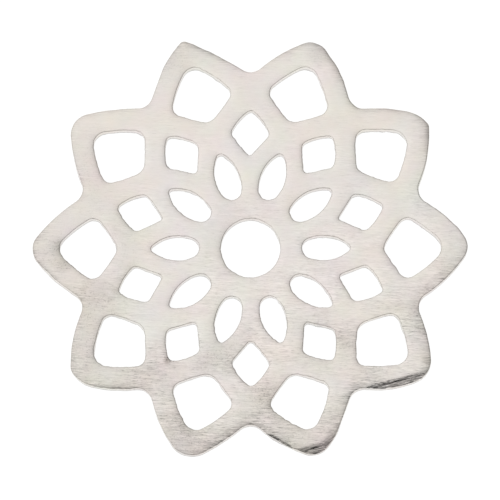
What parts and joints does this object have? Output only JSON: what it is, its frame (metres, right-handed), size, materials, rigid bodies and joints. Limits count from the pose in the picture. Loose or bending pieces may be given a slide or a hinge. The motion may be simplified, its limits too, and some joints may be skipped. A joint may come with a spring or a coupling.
{
  "type": "openwork rosette connector",
  "caption": "Flat pierced sheet-metal rosette with a pointed star outline, a round middle hole and rings of petal, diamond and window openings, for linking or sewing on.",
  "frame": {"origin": "where the axis of the middle hole meets the back face, on which the rosette lies", "axes": "+Z out of the front face, +X towards one of the points, +Y towards the top of the picture"},
  "size_m": [0.025, 0.0239, 0.0012],
  "materials": {
    "satin_steel": "pale satin, finely brushed along X, with faint tarnish"
  },
  "bodies": {
    "root": {"rosette": "satin_steel"}
  },
  "joints": []
}
